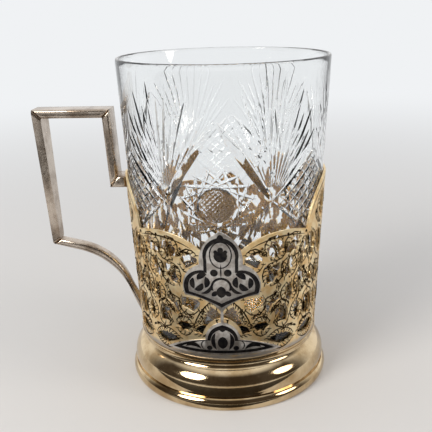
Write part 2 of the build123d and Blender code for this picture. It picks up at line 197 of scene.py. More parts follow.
# %% Colours and nodes
def linear(code):
    """Linear RGBA of an sRGB hex colour."""
    channels = [int(code[i:i + 2], 16) / 255 for i in (1, 3, 5)]
    return [c / 12.92 if c <= 0.04045 else ((c + 0.055) / 1.055) ** 2.4 for c in channels] + [1.0]


def add_node(tree, kind, inputs=None, **settings):
    """Adds a shader node and returns its outputs. An input is a value or an output to link from."""
    node = tree.nodes.new("ShaderNode" + kind)
    for name, value in settings.items():
        setattr(node, name, value)
    for name, value in (inputs or {}).items():
        if isinstance(value, bpy.types.NodeSocket):
            tree.links.new(value, node.inputs[name])
        else:
            node.inputs[name].default_value = value
    return node.outputs


def empty_tree(owner):
    """The node tree of a material or world, cleared."""
    owner.use_nodes = True
    owner.node_tree.nodes.clear()
    return owner.node_tree


def new_material(name):
    """A material with its principled shader and the object's own coordinates."""
    material = bpy.data.materials.new(name)
    tree = empty_tree(material)
    shader = add_node(tree, "BsdfPrincipled")["BSDF"].node
    add_node(tree, "OutputMaterial", {"Surface": shader.outputs["BSDF"]})
    place = add_node(tree, "TexCoord")["Object"]
    return material, tree, shader, place


# %% [markdown]
# Metal that has been handled and polished for years is never one colour. Thin gilding wears to
# the silver below, and silver yellows and browns. Three scales of noise give that: broad patches
# of tarnish, small mottling that changes the roughness, and fine scratches in the bump. A metal
# takes its tint from the base colour alone, so the two ends of each mix are reflectances.

# %% Worn metal
MIX_COLOUR = {"data_type": "RGBA"}
SMOOTH = {"interpolation_type": "SMOOTHSTEP"}
MOTTLE_MM = 0.9
SCRATCH_MM = 0.8
SCRATCH_STRETCH = (1.0, 1.0, 6.0)
SCRATCH_DEPTH_MM = 0.05
RUBBED_MM = 3.0


def worn_metal(name, bright, dull, patch_mm, gloss, scratch, bare=None):
    """Metallic shader mottled between a bright and a dull colour, with a range of roughness.

    Below a height in millimetres a thin plating may be rubbed through to a bare colour.
    """
    material, tree, shader, place = new_material(name)
    broad = {"Vector": place, "Scale": 1 / (patch_mm * MM), "Detail": 5.0, "Roughness": 0.6}
    patch = add_node(tree, "TexNoise", broad)
    spread = add_node(tree, "MapRange", {0: patch[0], 1: 0.36, 2: 0.66}, **SMOOTH)
    tint = add_node(tree, "Mix", {0: spread[0], 6: linear(bright), 7: linear(dull)}, **MIX_COLOUR)
    mottle = add_node(tree, "TexNoise", {"Vector": place, "Scale": 1 / (MOTTLE_MM * MM), "Detail": 3.0})
    rough = add_node(tree, "MapRange", {0: mottle[0], 1: 0.3, 2: 0.7, 3: gloss[0], 4: gloss[1]})
    drawn = add_node(tree, "Mapping", {"Vector": place, "Scale": SCRATCH_STRETCH})[0]
    fine = add_node(tree, "TexNoise", {"Vector": drawn, "Scale": 1 / (SCRATCH_MM * MM), "Detail": 2.0})
    relief = {"Height": fine[0], "Strength": scratch, "Distance": SCRATCH_DEPTH_MM * MM}
    bump = add_node(tree, "Bump", relief)
    colour = tint[2]
    if bare:
        level, shade = bare
        height = add_node(tree, "SeparateXYZ", {0: place})["Z"]
        uneven = {0: patch[0], 1: RUBBED_MM * MM, 2: height}
        ragged = add_node(tree, "Math", uneven, operation="MULTIPLY_ADD")[0]
        limits = {0: ragged, 1: (level + 1.0) * MM, 2: (level + 2.4) * MM}
        kept = add_node(tree, "MapRange", limits)[0]
        colour = add_node(tree, "Mix", {0: kept, 6: linear(shade), 7: colour}, **MIX_COLOUR)[2]
    shader.inputs["Metallic"].default_value = 1.0
    tree.links.new(colour, shader.inputs["Base Color"])
    tree.links.new(rough[0], shader.inputs["Roughness"])
    tree.links.new(bump[0], shader.inputs["Normal"])
    return material


# %% [markdown]
# Each finish gives its bright and dull colour, the size of its patches in millimetres, its range of
# roughness and the strength of its scratches.

# %% Metals
# Thin gilding on sheet silver, rubbed through to grey metal along the foot
RUBBED = (FOOT_TOP + 1.2, "#B9B1A8")
gilt_sheet = worn_metal("gilt_silver_sheet", "#FAE6BC", "#EAC68C", 4.0, (0.30, 0.50), 0.3, RUBBED)
# Gilding on the spun foot, polished by hands and cloths
gilt_foot = worn_metal("polished_gilt_silver", "#DEC8A3", "#B59A72", 9.0, (0.05, 0.13), 0.04)
# Silver left ungilt on the plaques, ground flat with the niello
plaque_silver = worn_metal("ground_silver", "#DCD8D3", "#B3ABA3", 2.0, (0.30, 0.48), 0.3)
# Silver of the handle, browned in random patches
handle_silver = worn_metal("tarnished_silver", "#CFC2B4", "#9C8B7A", 8.0, (0.18, 0.30), 0.06)
# Oxide left in the graver's lines, made dark enough to paint the shade in the grooves and the drilled
# holes
engraving_oxide_and_shade = worn_metal("oxide_and_painted_shade_engraving", "#46351F", "#2B2013", 2.0, (0.45, 0.65), 0.2)
# Gilding inside the holder, which nobody rubs
gilt_inside = worn_metal("fresh_gilding", "#F0BC70", "#DA9E4E", 6.0, (0.20, 0.34), 0.1)
# Black sulphide of silver, copper and lead
niello = worn_metal("niello_sulphide", "#232225", "#3A3735", 1.5, (0.28, 0.45), 0.2)

# %% [markdown]
# Lead crystal is clear and bends light strongly, which is why its cuts flash. The shader needs
# only full transmission, a glass-smooth surface and an index of refraction near 1.55. A very
# faint waviness stands for hand polishing with acid, which softens the wheel's edges.

# %% Crystal
# Lead crystal, clear, with its cuts polished in acid
crystal, tree, shader, place = new_material("lead_crystal")
shader.inputs["Base Color"].default_value = linear("#FDFEFE")
shader.inputs["Transmission Weight"].default_value = 1.0
shader.inputs["IOR"].default_value = 1.545
shader.inputs["Roughness"].default_value = 0.0
ripple = add_node(tree, "TexNoise", {"Vector": place, "Scale": 1 / (7.0 * MM), "Detail": 1.0})
wave = add_node(tree, "Bump", {"Height": ripple[0], "Strength": 0.05, "Distance": 0.1 * MM})
tree.links.new(wave[0], shader.inputs["Normal"])
print("materials:", sorted(material.name for material in bpy.data.materials))


# %% [markdown]
# Nearly every line of the ornament is an arc. An arc through three points is easy to read off the
# object: where it starts, one point that it passes, and where it ends.

# %% Arcs and flat shapes
def arc(start, via, end, count=10):
    """Points along the arc through three points, both ends included."""
    (ax, ay), (bx, by), (cx, cy) = start, via, end
    d = 2 * (ax * (by - cy) + bx * (cy - ay) + cx * (ay - by))
    a2, b2, c2 = ax * ax + ay * ay, bx * bx + by * by, cx * cx + cy * cy
    ox = (a2 * (by - cy) + b2 * (cy - ay) + c2 * (ay - by)) / d
    oy = (a2 * (cx - bx) + b2 * (ax - cx) + c2 * (bx - ax)) / d
    radius = hypot(ax - ox, ay - oy)
    first = atan2(ay - oy, ax - ox)
    turn = (atan2(cy - oy, cx - ox) - first) % tau
    if (atan2(by - oy, bx - ox) - first) % tau > turn:
        turn -= tau
    steps = [first + turn * i / count for i in range(count + 1)]
    return [(ox + radius * cos(t), oy + radius * sin(t)) for t in steps]


def leaf(points, count=10):
    """Closed outline of two arcs: tip, side, tip, side."""
    first, side, second, other = points
    return arc(first, side, second, count)[:-1] + arc(second, other, first, count)[:-1]


def oval(x, y, half_width, half_height, count=24):
    turns = [tau * i / count for i in range(count)]
    return [(x + half_width * cos(t), y + half_height * sin(t)) for t in turns]


def mirrored(outline):
    return [(-x, y) for x, y in reversed(outline)]


def thicken(bm, faces, vec):
    """Extrudes faces by a vector into a closed shape."""
    lifted = bmesh.ops.extrude_face_region(bm, geom=faces)["geom"]
    far = [item for item in lifted if isinstance(item, bmesh.types.BMVert)]
    bmesh.ops.translate(bm, vec=vec, verts=far)


def add_slab(bm, outline, low, high):
    """Adds a flat shape of a given outline, thickened from one level to another."""
    verts = [bm.verts.new((x, y, low)) for x, y in outline]
    thicken(bm, [bm.faces.new(verts)], (0, 0, high - low))


def slab(outline, low, high):
    bm = bmesh.new()
    add_slab(bm, outline, low, high)
    return bm


# %% [markdown]
# A cut made by a wheel is a groove of V section that runs out at both ends, because the wheel is
# round. A sphere with only four sides, stretched along the cut, has exactly that shape. Bent along
# an arc it is also the stroke of a graver, which swells in the middle.

# %% Wheel cuts and graver strokes
def spindle(path, half_width, depth, place, lean=0.0):
    """Four-sided spindle along a path of flat points, set on the wall by a placing function.

    A lean moves the deepest line to the left of the path, as when the wheel is held aslant.
    """
    bm = bmesh.new()
    bmesh.ops.create_uvsphere(bm, u_segments=4, v_segments=8, radius=1.0)
    last = len(path) - 1
    for vert in bm.verts:
        t = (vert.co.z + 1) / 2 * last
        i = min(int(t), last - 1)
        start, end = Vector(path[i]), Vector(path[i + 1])
        run = (end - start).normalized()
        deep = abs(vert.co.y) > 0.01
        across = vert.co.x + (lean * hypot(vert.co.x, vert.co.y) if deep else 0.0)
        spot = start.lerp(end, t - i) + Vector((-run.y, run.x)) * across * half_width
        vert.co = place(spot.x, spot.y, vert.co.y * depth)
    return bm


# %% [markdown]
# The glass is blown or pressed as a plain tapered tumbler with a thick bottom and then cut. Its
# section is spun round the axis: a full turn, merged where it closes. The lip is fire-polished
# round.

# %% Plain tumbler
GLASS_STEPS = 192
BOWL_FLOOR = SEAT + 8.0
BOWL_FILLET = 4.0
BASE_BEVEL = 1.0
WALL_LOW = 2.6
WALL_LIP = 1.3
bowl_radius = wall_radius(BOWL_FLOOR) - WALL_LOW
lip_center = RIM_RADIUS - WALL_LIP / 2
lip_foot = RIM - WALL_LIP / 2
outer = [(wall_radius(z), z) for z in range(20, 109, 8)]
lip = arc((RIM_RADIUS - 0.03, lip_foot), (lip_center, RIM), (RIM_RADIUS - WALL_LIP, lip_foot), 8)
bowl_side = (bowl_radius + 0.2, BOWL_FLOOR + BOWL_FILLET)
bowl_turn = (bowl_radius - 1.0, BOWL_FLOOR + 1.1)
bowl = arc(bowl_side, bowl_turn, (bowl_radius - BOWL_FILLET, BOWL_FLOOR), 8)
section = [(0, SEAT), (BASE_RADIUS - BASE_BEVEL, SEAT)]
section += [(wall_radius(SEAT + BASE_BEVEL), SEAT + BASE_BEVEL)]
section += outer + lip + bowl + [(0, BOWL_FLOOR)]


def spun(section, steps):
    """Solid of revolution from a section of (radius, height) points."""
    bm = bmesh.new()
    verts = [bm.verts.new((r, 0, z)) for r, z in section]
    edges = [bm.edges.new(pair) for pair in zip(verts, verts[1:])]
    turn = {"axis": (0, 0, 1), "cent": (0, 0, 0), "angle": tau, "steps": steps}
    bmesh.ops.spin(bm, geom=verts + edges, use_merge=True, **turn)
    bmesh.ops.remove_doubles(bm, verts=bm.verts, dist=MERGE)
    bm.normal_update()
    bmesh.ops.recalc_face_normals(bm, faces=bm.faces)
    return bm


tumbler = spun(section, GLASS_STEPS)
print("tumbler faces", len(tumbler.faces))

# %% [markdown]
# The pattern repeats round the glass in six panels. Three carry a star about a round netted boss
# inside a tall diamond. The diamond's sides are deep cuts made with the wheel held aslant: their
# broad side looks down into the gilt holder and shows its brown. The star's chords lean the other
# way and look up to the light.

# %% Star panels
PANEL = ROLL_RADIUS * tau / 6
HALF = PANEL / 2
WAIST = 69.0
STAR_APEX = 94.0
STAR_FOOT = 44.0
BOSS = (0.0, 68.6)
BOSS_RADIUS = 5.0
DIAMOND_CUT, DIAMOND_LEAN = (1.5, 1.0), -0.7
STAR_CUT, STAR_LEAN = (0.8, 0.45), 0.5
NET_CUT = (0.3, 0.05)


def star_panel():
    """Cuts of one star panel, as start, end, half width, depth and lean."""
    cuts = []
    for side in (-1, 1):
        corner = (side * HALF, WAIST)
        for apex in (STAR_APEX, STAR_FOOT):
            cuts.append((corner, (0, apex), *DIAMOND_CUT, DIAMOND_LEAN * side))
    points, inner, reach = 16, 6.0, 10.0
    for i in range(points):
        a = tau * i / points
        middle = (BOSS[0] + inner * cos(a), BOSS[1] + inner * sin(a))
        run = (-sin(a) * reach, cos(a) * reach)
        ends = [(middle[0] + k * run[0], middle[1] + k * run[1]) for k in (-1, 1)]
        cuts.append((*ends, *STAR_CUT, STAR_LEAN if sin(a) > 0 else -STAR_LEAN))
    pitch = 1.0
    for a in (radians(45), radians(-45)):
        for j in range(-4, 5):
            off = j * pitch
            reach = sqrt(BOSS_RADIUS ** 2 - off ** 2)
            middle = (BOSS[0] - sin(a) * off, BOSS[1] + cos(a) * off)
            run = (cos(a) * reach, sin(a) * reach)
            ends = [(middle[0] + k * run[0], middle[1] + k * run[1]) for k in (-1, 1)]
            cuts.append((*ends, *NET_CUT, 0.0))
    return cuts


print("cuts of a star panel", len(star_panel()))

# %% [markdown]
# The other three panels carry a lower diamond that is hatched all over. The diamonds meet at six
# corners, and from each corner a fan of long cuts opens towards the rim.

# %% Hatched panels and fans
HATCH_RISE = 13.7
EDGE_CUT = (0.8, 0.45)
HATCH_CUT = (0.55, 0.18)
RAY_CUT = (0.62, 0.3)
RAYS = 13
RAY_START, RAY_LONG, RAY_SHORT = 4.5, 36.5, 31.0
RAY_FIRST, RAY_SPREAD = -27, 66


def hatched_panel():
    """Cuts of one hatched diamond."""
    left, right = Vector((-HALF, WAIST)), Vector((HALF, WAIST))
    top, foot = Vector((0, WAIST + HATCH_RISE)), Vector((0, WAIST - HATCH_RISE))
    cuts = [(a, b, *EDGE_CUT, 0.0) for a in (left, right) for b in (top, foot)]
    rows = 8
    for j in range(1, rows):
        t = j / rows
        cuts.append((left.lerp(foot, t), top.lerp(right, t), *HATCH_CUT, 0.0))
        cuts.append((left.lerp(top, t), foot.lerp(right, t), *HATCH_CUT, 0.0))
    return cuts


def fan(star_side):
    """Fan of long cuts that opens upwards from a corner."""
    cuts = []
    for i in range(RAYS):
        angle = radians(RAY_FIRST + RAY_SPREAD * i / (RAYS - 1)) * star_side
        reach = (RAY_LONG if i % 2 == 0 else RAY_SHORT) * cos(1.15 * angle)
        ends = [(r * sin(angle), WAIST + r * cos(angle)) for r in (RAY_START, reach)]
        cuts.append((*ends, *RAY_CUT, 0.0))
    return cuts


print("cuts of a hatched panel", len(hatched_panel()), "and of a fan", len(fan(1)))

# %% [markdown]
# All the cuts are bent round the wall and ground out of the tumbler in one Boolean.

# %% Cut the glass
STAR_TURN = radians(-1.3) * ROLL_RADIUS
PATH_STEPS = 6
pattern = []
for k in range(6):
    center = STAR_TURN + k * PANEL
    starred = k % 2 == 0
    pattern += [(center, cut) for cut in (star_panel() if starred else hatched_panel())]
    pattern += [(center + HALF, cut) for cut in fan(1 if starred else -1)]
cutters = []
for shift, (start, end, half_width, depth, lean) in pattern:
    ends = [(p[0] + shift, p[1]) for p in (start, end)]
    path = [Vector(ends[0]).lerp(Vector(ends[1]), i / PATH_STEPS) for i in range(PATH_STEPS + 1)]
    cutters.append(spindle(path, half_width, depth, rolled, lean))
cut_glass = combine(tumbler, cutters, "DIFFERENCE", crystal, crystal)
finish_piece("cut_crystal_glass", cut_glass, [crystal], "glass", ["tea_glass"], sharp=14)
print("wheel cuts", len(pattern))

# %% [markdown]
# The sleeve was sawn from flat sheet, engraved, gilded and then rolled up. It is made the same way
# here. The flat sheet is a grid whose columns let it bend, with its upper edge moved to the lobes.

# %% Flat sheet
COLUMNS = 216
LOBE_START = (5.85, 54.0)
LOBE_CREST = 59.0
CUSP_ANGLE = radians(55)
CUSP = 57.3
SHOULDER = (0.76, 68.3)
half_turn = pi * ROLL_RADIUS


def sleeve_radius(z):
    return wall_radius(z) + SLEEVE_OUTSIDE


def height_on(curve, x):
    """Height of a run of points at a place, between its neighbours."""
    for (x0, y0), (x1, y1) in zip(curve, curve[1:]):
        if x0 <= x <= x1:
            return y0 + (y1 - y0) * (x - x0) / (x1 - x0)
    return curve[0][1] if x < curve[0][0] else curve[-1][1]


cusp_x = sleeve_radius(CUSP) * sin(CUSP_ANGLE)
cusp_y = sleeve_radius(CUSP) * cos(CUSP_ANGLE)
low_lobe = arc(LOBE_START, ((LOBE_START[0] + cusp_x) / 2, LOBE_CREST), (cusp_x, CUSP), 24)
tall_lobe = arc((0, PEAK), (SHOULDER[0] * cusp_y, SHOULDER[1]), (cusp_y, CUSP), 40)


def upper_edge(angle):
    """Height of the sleeve's upper edge at an angle from the medallion's centre line."""
    folded = abs(angle)
    if folded > pi / 2:
        folded = pi - folded
    radius = sleeve_radius(LOBE_CREST)
    if folded <= CUSP_ANGLE + 1e-6:
        return height_on(low_lobe, radius * sin(folded))
    return height_on(tall_lobe, sleeve_radius(PEAK - 6) * cos(folded))


sheet = bmesh.new()
bmesh.ops.create_grid(sheet, x_segments=COLUMNS, y_segments=1, size=1.0)
for vert in sheet.verts:
    angle = vert.co.x * pi
    vert.co = (angle * ROLL_RADIUS, upper_edge(angle) if vert.co.y > 0 else FOOT_TOP, 0.0)
thicken(sheet, sheet.faces[:], (0, 0, SLEEVE_OUTSIDE - SLEEVE_INSIDE))
print("sheet faces", len(sheet.faces))

# %% [markdown]
# The silver plaques and the plain border that the saw leaves round them share one drawing each:
# the outline, drawn in or out by an inset.

# %% Plaque outlines
def medallion_outline(inset=0.0, count=14):
    """Three lobes: a pointed crown, two side lobes, and hollow lower edges that meet in a point."""
    half = 11.7 - inset
    foot = 33.8 + 1.5 * inset
    height = 27.0 - 3.0 * inset
    waist = (0.575 * half, foot + 0.60 * height)
    corner = (0.985 * half, foot + 0.193 * height)
    right = arc((0, foot + height), (0.455 * half, foot + 0.83 * height), waist, count)[:-1]
    right += arc(waist, (0.945 * half, foot + 0.465 * height), corner, count)[:-1]
    right += arc(corner, (0.46 * half, foot + 0.155 * height), (0, foot), count)
    return right + mirrored(right[1:-1])


def cartouche_outline(inset=0.0, count=12):
    """A low dome between two wings that run out to points."""
    half = 18.6 - 3.0 * inset
    foot = 18.4 + inset
    height = 12.0 - 2.5 * inset
    shoulder = (5.58 - inset, foot + 0.46 * height)
    crown = (0.75 * shoulder[0], foot + 0.80 * height)
    right = arc((0, foot + height), crown, shoulder, count)[:-1]
    right += arc(shoulder, (0.67 * half, foot + 0.31 * height), (half, foot), count)
    right += [(half * (1 - i / 6), foot) for i in range(1, 7)]
    return right + mirrored(right[1:-1])


def unrolled(outline, shift=0.0):
    """An outline seen from the front, laid out flat on the sheet."""
    flat = [(asin(x / sleeve_radius(z)) * ROLL_RADIUS, z) for x, z in outline]
    return [(s + shift, z) for s, z in flat]


print("medallion points", len(medallion_outline()), "cartouche points", len(cartouche_outline()))

# %% [markdown]
# The piercing is a running scroll. Each opening lies between two arcs, tip, side, tip, side, drawn
# once for a quarter of the sleeve as degrees round the axis and percent of the low lobes' height.

# %% Openings
leaf_openings = [
    ((2.3, 51.4), (-1.4, 34.3), (16.7, 21.4), (10.4, 37.1)),
    ((23.4, 52.4), (17.1, 53.8), (12.4, 46.7), (20.2, 39.0)),
    ((28.4, 24.8), (23.4, 30.5), (18.0, 26.0), (23.8, 20.7)),
    ((46.8, 10.2), (36.0, 16.6), (26.3, 12.4), (35.6, 6.2)),
    ((41.0, 33.8), (36.4, 41.4), (31.7, 32.8), (36.4, 24.3)),
    ((35.6, 45.2), (28.6, 46.6), (27.4, 34.8), (30.6, 41.8)),
    ((41.8, 57.6), (37.6, 48.6), (42.8, 41.2), (45.0, 48.8)),
    ((42.5, 78.6), (37.3, 70.5), (38.9, 61.4), (43.9, 69.0)),
    ((34.0, 76.0), (26.8, 71.4), (26.1, 59.0), (33.4, 65.7)),
    ((36.4, 91.0), (27.4, 92.6), (26.4, 82.4), (33.1, 81.4)),
    ((50.0, 91.9), (41.4, 93.0), (38.0, 81.4), (46.4, 82.4)),
    ((23.4, 80.5), (18.7, 86.0), (13.0, 82.4), (19.4, 73.8)),
    ((54.4, 91.5), (50.6, 80.5), (48.6, 69.5), (55.6, 79.0)),
    ((71.1, 10.2), (60.8, 17.2), (50.4, 10.2), (60.8, 6.2)),
    ((85.2, 10.2), (79.9, 16.6), (74.6, 10.2), (79.9, 6.2)),
    ((49.4, 23.0), (45.4, 31.0), (48.0, 40.0), (51.8, 31.0)),
    ((64.0, 31.4), (59.0, 41.9), (54.4, 31.4), (59.0, 21.9)),
    ((71.4, 21.4), (72.4, 31.0), (68.0, 41.4), (67.0, 31.0)),
    ((86.2, 31.4), (80.6, 41.9), (75.0, 31.4), (80.6, 21.9)),
    ((49.6, 65.4), (47.0, 54.8), (49.0, 45.2), (54.4, 54.8)),
    ((58.0, 64.3), (56.8, 54.8), (61.0, 46.2), (63.2, 56.2)),
    ((65.9, 63.3), (66.6, 52.4), (73.4, 46.2), (73.2, 57.6)),
    ((77.4, 63.4), (77.4, 53.8), (86.4, 47.6), (85.4, 59.0)),
    ((58.6, 93.3), (57.6, 80.0), (59.6, 68.6), (65.0, 81.0)),
    ((69.1, 91.0), (67.4, 77.6), (75.2, 67.6), (76.8, 83.3)),
    ((81.4, 93.0), (79.8, 81.9), (87.1, 69.5), (87.5, 84.3)),
    ((72.4, 121.0), (68.4, 108.1), (73.4, 96.2), (78.4, 110.0)),
    ((83.0, 113.0), (81.4, 105.0), (87.1, 96.7), (87.6, 106.7)),
]
print("openings of a quarter", len(leaf_openings))

# %% [markdown]
# A saw piercer doesn't leave plain arcs. Each side of an opening is the edge of a leaf, so small
# lobes run along it, with a notch between each two. A vein leads back from each lobe and each
# notch, and a rib follows the whole side: those are the lines that the graver cuts later.

# %% Leaf edges
LOBE_PERCENT = 0.42
LOBE_PITCH, LOBE_POINTS = 1.9, 6
LOBE_DEPTH, LOBE_SHARE = 0.9, 0.24
NOTCH = 0.3
VEIN_LONG, VEIN_SWEEP = 1.2, 0.8
RIB_OFF = 1.5


def on_sheet(points):
    """Points in degrees and percent, in millimetres on the first quarter of the flat sheet."""
    flat = [(radians(turn) * ROLL_RADIUS, FOOT_TOP + LOBE_PERCENT * part) for turn, part in points]
    return [Vector(spot) for spot in flat]


def quarters(points):
    """A run of points in all four quarters of the sheet."""
    runs = []
    for side in (-1, 1):
        runs.append([(side * x, z) for x, z in points])
        runs.append([(side * (half_turn - x), z) for x, z in points])
    return runs


def leafy_side(start, way, end, across):
    """One side of an opening as a leaf's edge: its points, the veins of its lobes, and its rib."""
    middle = way.lerp(across, 0.5)
    depth = min(LOBE_DEPTH, LOBE_SHARE * (way - across).length)
    lobes = max(2, round((end - start).length / LOBE_PITCH))
    plain = [Vector(spot) for spot in arc(start, way, end, lobes * LOBE_POINTS)]
    edge, veins = [], []
    for i, spot in enumerate(plain):
        inward = (middle - spot).normalized()
        taper = sin(pi * i / (len(plain) - 1)) ** 0.7
        edge.append(spot + inward * taper * (depth * abs(sin(pi * i / LOBE_POINTS)) - NOTCH))
        if i % (LOBE_POINTS // 2) == 0 and 0 < i < len(plain) - 1:
            sweep = (plain[i + 1] - plain[i - 1]).normalized() * VEIN_SWEEP
            bend = spot - inward * 0.6 * VEIN_LONG + 0.3 * sweep
            veins.append([edge[-1], bend, spot - inward * VEIN_LONG + sweep])
    off = (way - across).normalized() * RIB_OFF
    rib = arc(start + 0.4 * off, way + off, end + 0.4 * off, 8)
    return edge, veins, rib


outlines, opening_veins, opening_ribs = [], [], []
for points in leaf_openings:
    first, bulge, second, hollow = on_sheet(points)
    one, one_veins, one_rib = leafy_side(first, bulge, second, hollow)
    two, two_veins, two_rib = leafy_side(second, hollow, first, bulge)
    outlines.append(one[:-1] + two[:-1])
    opening_veins += one_veins + two_veins
    opening_ribs += [one_rib, two_rib]
print("veins", len(opening_veins), "ribs", len(opening_ribs))

# %% [markdown]
# The saw goes through the sheet along every outline, mirrored to the four quarters. A plain border
# of nine tenths of a millimetre stays round the plaques, so their outlines, drawn out by that much,
# are taken off the openings first. Two halves go in turn, because mirrored openings may meet.

# %% Saw the openings
BORDER = 0.9
THROUGH = 1.0
borders = []
for shift in (-half_turn, 0.0, half_turn):
    for outline in (medallion_outline(-BORDER), cartouche_outline(-BORDER)):
        borders.append(slab(unrolled(outline, shift), -2 * THROUGH, 3 * THROUGH))
saw_cuts = []
for half in (slice(0, 2), slice(2, 4)):
    openings = bmesh.new()
    for outline in outlines:
        for run in quarters(outline)[half]:
            add_slab(openings, run, -THROUGH, 2 * THROUGH)
    kept = [border.copy() for border in borders]
    saw_cuts.append(combine(openings, kept, "DIFFERENCE", gilt_sheet, gilt_sheet))
for border in borders:
    border.free()
sheet = combine(sheet, saw_cuts, "DIFFERENCE", gilt_sheet, gilt_sheet)
print("pierced sheet faces", len(sheet.faces))

# %% [markdown]
# Scroll leaves curl out of the stems, some of them into the openings. Each row is the spine's arc,
# in millimetres from the medallion's centre line and above the table, then half the leaf's width
# and the number of its lobes.

# %% Scroll leaves
scroll_leaves = [
    ((14.4, 29.4), (11.8, 32.2), (9.7, 30.6), 1.2, 3),
    ((10.6, 27.6), (7.2, 29.6), (6.4, 34.6), 1.5, 4),
    ((15.8, 32.0), (19.4, 33.6), (22.0, 30.0), 0.9, 4),
    ((19.0, 27.0), (18.6, 29.4), (20.2, 31.0), 0.8, 2),
    ((13.8, 48.0), (16.0, 47.2), (17.4, 44.2), 1.1, 3),
    ((20.4, 52.4), (23.4, 54.6), (26.4, 53.8), 1.0, 4),
    ((14.4, 51.4), (12.4, 53.2), (9.2, 52.8), 1.1, 3),
    ((20.2, 44.6), (21.6, 46.8), (22.6, 49.6), 0.8, 3),
    ((15.4, 37.0), (18.6, 39.4), (17.6, 43.2), 1.6, 4),
    ((17.2, 50.6), (17.6, 53.2), (16.2, 55.4), 0.8, 3),
    ((27.4, 42.0), (28.4, 38.2), (26.6, 33.8), 1.0, 4),
    ((26.4, 43.6), (28.6, 47.4), (27.0, 51.0), 1.2, 4),
    ((22.4, 40.8), (22.8, 38.0), (22.2, 35.4), 0.6, 3),
    ((33.0, 26.2), (33.9, 30.0), (32.2, 33.6), 0.9, 4),
    ((29.2, 36.4), (31.4, 38.8), (34.4, 36.8), 1.1, 4),
    ((36.4, 35.6), (38.0, 38.4), (36.2, 42.0), 1.0, 4),
    ((40.2, 36.2), (42.6, 38.6), (46.0, 36.8), 1.1, 4),
    ((45.0, 26.2), (45.9, 30.0), (44.2, 33.6), 0.9, 4),
    ((30.4, 45.2), (31.6, 41.6), (34.0, 44.4), 0.9, 3),
    ((38.2, 44.6), (39.8, 41.2), (42.0, 44.6), 0.9, 3),
    ((31.0, 54.6), (32.6, 51.0), (33.4, 47.2), 0.8, 4),
    ((40.0, 54.4), (41.0, 50.6), (41.4, 46.8), 0.8, 4),
    ((35.8, 62.6), (37.6, 58.4), (41.4, 56.8), 1.2, 4),
    ((44.0, 66.6), (45.0, 63.4), (47.8, 61.8), 1.1, 3),
    ((20.6, 24.6), (23.4, 25.6), (27.0, 24.2), 0.9, 4),
    ((29.0, 23.0), (31.0, 25.4), (33.6, 25.2), 0.8, 3),
]
print("scroll leaves of a quarter", len(scroll_leaves))

# %% [markdown]
# Each is an acanthus leaf in little: lobes along both sides of the spine that shrink towards the
# tip. The leaves are joined to the sheet a little proud of its face, in all four quarters.

# %% Grow the leaves
LEAF_LEVEL = SLEEVE_OUTSIDE - SLEEVE_INSIDE
LEAF_PROUD = 0.12


def frond(base, bend, tip, half_width, lobes):
    """Outline of a leaf with lobes along both sides of its spine, and the lines of its veins."""
    spine = arc(base, bend, tip, 2 * lobes)
    last = len(spine) - 1
    sides = {1: [], -1: []}
    veins = [spine]
    for i in range(1, last):
        run = Vector(spine[i + 1]) - Vector(spine[i - 1])
        across = Vector((-run.y, run.x)).normalized()
        t = i / last
        swell = half_width * (1.0 - 0.75 * t) * min(1.0, 3.0 * t + 0.35)
        reach = swell * (1.0 if i % 2 else 0.45)
        for way in sides:
            spot = Vector(spine[i]) + way * reach * across + run * (0.35 if i % 2 else -0.1)
            sides[way].append(tuple(spot))
            if i % 2:
                veins.append([spine[i], tuple(Vector(spine[i]).lerp(spot, 0.75))])
    outline = [spine[0]] + sides[1] + [spine[-1]] + sides[-1][::-1]
    return outline, veins


grown = []
vein_lines = []
for base, bend, tip, half_width, lobes in scroll_leaves:
    outline, veins = frond(base, bend, tip, half_width, lobes)
    grown += [slab(run, 0.0, LEAF_LEVEL + LEAF_PROUD) for run in quarters(outline)]
    vein_lines += veins + [outline + outline[:1]]
sheet = combine(sheet, grown, "UNION", gilt_sheet, gilt_sheet)
print("scroll leaves", len(grown), "faces", len(sheet.faces))

# %% [markdown]
# Chasing finishes the leaves: a graver runs beside each opening, round each leaf and along its
# veins, and leaves a line that swells and fades. The oxide in it stays dark when the gold is
# polished, and its dark colour also paints the shade in the grooves and beside the openings.
# Small drilled holes mark the hearts of the scrolls; their walls take the same painted shade.

# %% Engraved lines
RIB_HALF = 0.32
VEIN_HALF = 0.24
LINE_DEPTH = 0.3
DRILL_HALF = 0.55
EDGE_LINE = 1.7


def flat(x, y, out):
    """Places a stroke on the flat sheet, between its face and the leaves' face."""
    return Vector((x, y, LEAF_LEVEL + 0.06 + out))


def graved(lines, half_width):
    """Graver strokes along lines of the first quarter, in all four quarters."""
    return [spindle(run, half_width, LINE_DEPTH, flat) for line in lines for run in quarters(line)]


def edge_line(start, end, step=3):
    """Line that follows the upper edge from one angle to another."""
    angles = [radians(a) for a in range(start, end + 1, step)]
    return [(a * ROLL_RADIUS, upper_edge(a) - EDGE_LINE) for a in angles]


short_lines = [line[i:i + 4] for line in vein_lines for i in range(0, len(line) - 1, 3)]
strokes = graved(opening_ribs + [edge_line(15, 54), edge_line(57, 87)], RIB_HALF)
strokes += graved(opening_veins + short_lines, VEIN_HALF)
drilled = [
    (17.8, 57.5), (21.6, 57.6), (12.6, 54.4), (14.0, 47.9), (11.2, 31.2), (18.2, 36.9), (17.4, 38.6),
    (25.6, 56.0), (29.4, 44.6), (30.0, 56.6), (36.6, 26.0), (41.6, 62.0), (34.4, 45.6), (48.6, 58.2),
]
holes = bmesh.new()
for spot in drilled:
    for center, in quarters([spot]):
        add_slab(holes, oval(*center, DRILL_HALF, DRILL_HALF, 10), -THROUGH, 2 * THROUGH)
# The strokes and holes leave dark faces: oxide, and painted shade in the grooves and hole walls.
sheet = combine(sheet, strokes + [holes], "DIFFERENCE", gilt_sheet, engraving_oxide_and_shade)
dark = sum(face.material_index == 1 for face in sheet.faces)
print("graver strokes", len(strokes), "faces", len(sheet.faces), "dark", dark)

